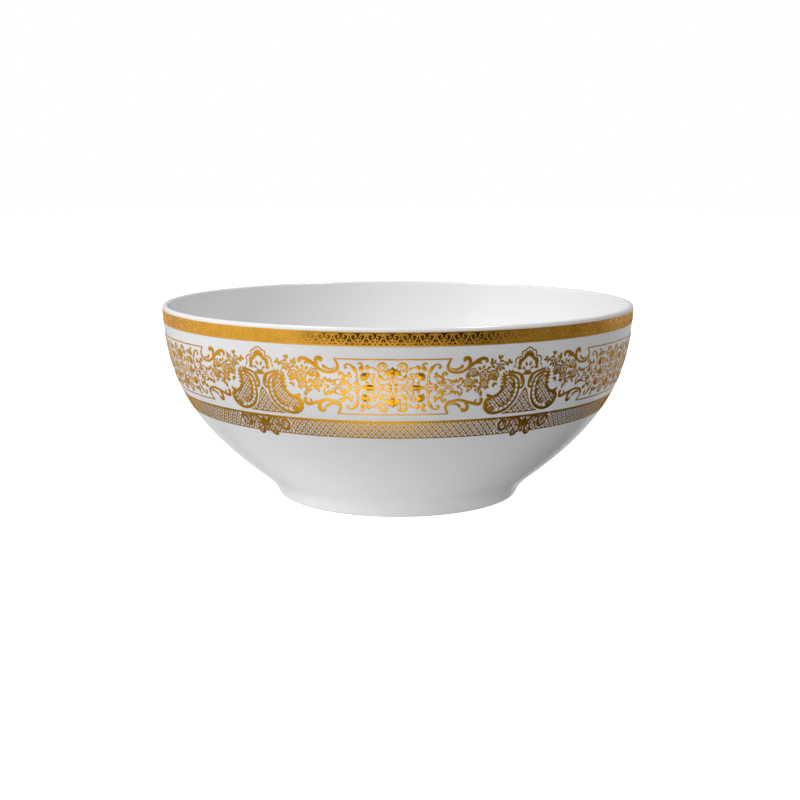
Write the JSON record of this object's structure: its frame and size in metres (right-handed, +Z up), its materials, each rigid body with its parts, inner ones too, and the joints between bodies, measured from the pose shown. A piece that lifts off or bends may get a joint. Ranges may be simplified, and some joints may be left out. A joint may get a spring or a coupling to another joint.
{
  "type": "serving bowl",
  "caption": "Round glazed porcelain serving bowl on a low foot ring, with a gold rim band and a gold printed frieze round its outside.",
  "frame": {"origin": "centre of the foot ring, on the surface the bowl stands on", "axes": "+Z up along the bowl's axis; the middle of one printed cartouche faces -Y, and the frieze repeats six times round the bowl, over six bow clasps on the trellis band below it"},
  "size_m": [0.2512, 0.2512, 0.1028],
  "materials": {
    "glazed_porcelain": "cool white clear glaze, glossy, with a bare ground ring under the foot",
    "fired_gold": "thin fired-on gold, satin drawing on a burnished ground"
  },
  "bodies": {
    "root": {"bowl_body": "glazed_porcelain", "rim_band": "fired_gold", "cartouche_1": "fired_gold", "cartouche_2": "fired_gold", "cartouche_3": "fired_gold", "cartouche_4": "fired_gold", "cartouche_5": "fired_gold", "cartouche_6": "fired_gold", "shell_crest_1": "fired_gold", "shell_crest_2": "fired_gold", "shell_crest_3": "fired_gold", "shell_crest_4": "fired_gold", "shell_crest_5": "fired_gold", "shell_crest_6": "fired_gold", "trellis_gusset_1": "fired_gold", "trellis_gusset_2": "fired_gold", "trellis_gusset_3": "fired_gold", "trellis_gusset_4": "fired_gold", "trellis_gusset_5": "fired_gold", "trellis_gusset_6": "fired_gold", "flower_spray_left_1": "fired_gold", "flower_spray_left_2": "fired_gold", "flower_spray_left_3": "fired_gold", "flower_spray_left_4": "fired_gold", "flower_spray_left_5": "fired_gold", "flower_spray_left_6": "fired_gold", "flower_spray_right_1": "fired_gold", "flower_spray_right_2": "fired_gold", "flower_spray_right_3": "fired_gold", "flower_spray_right_4": "fired_gold", "flower_spray_right_5": "fired_gold", "flower_spray_right_6": "fired_gold", "bow_clasp_1": "fired_gold", "bow_clasp_2": "fired_gold", "bow_clasp_3": "fired_gold", "bow_clasp_4": "fired_gold", "bow_clasp_5": "fired_gold", "bow_clasp_6": "fired_gold", "trellis_strip_1": "fired_gold", "trellis_strip_2": "fired_gold", "trellis_strip_3": "fired_gold", "trellis_strip_4": "fired_gold", "trellis_strip_5": "fired_gold", "trellis_strip_6": "fired_gold"}
  },
  "joints": []
}
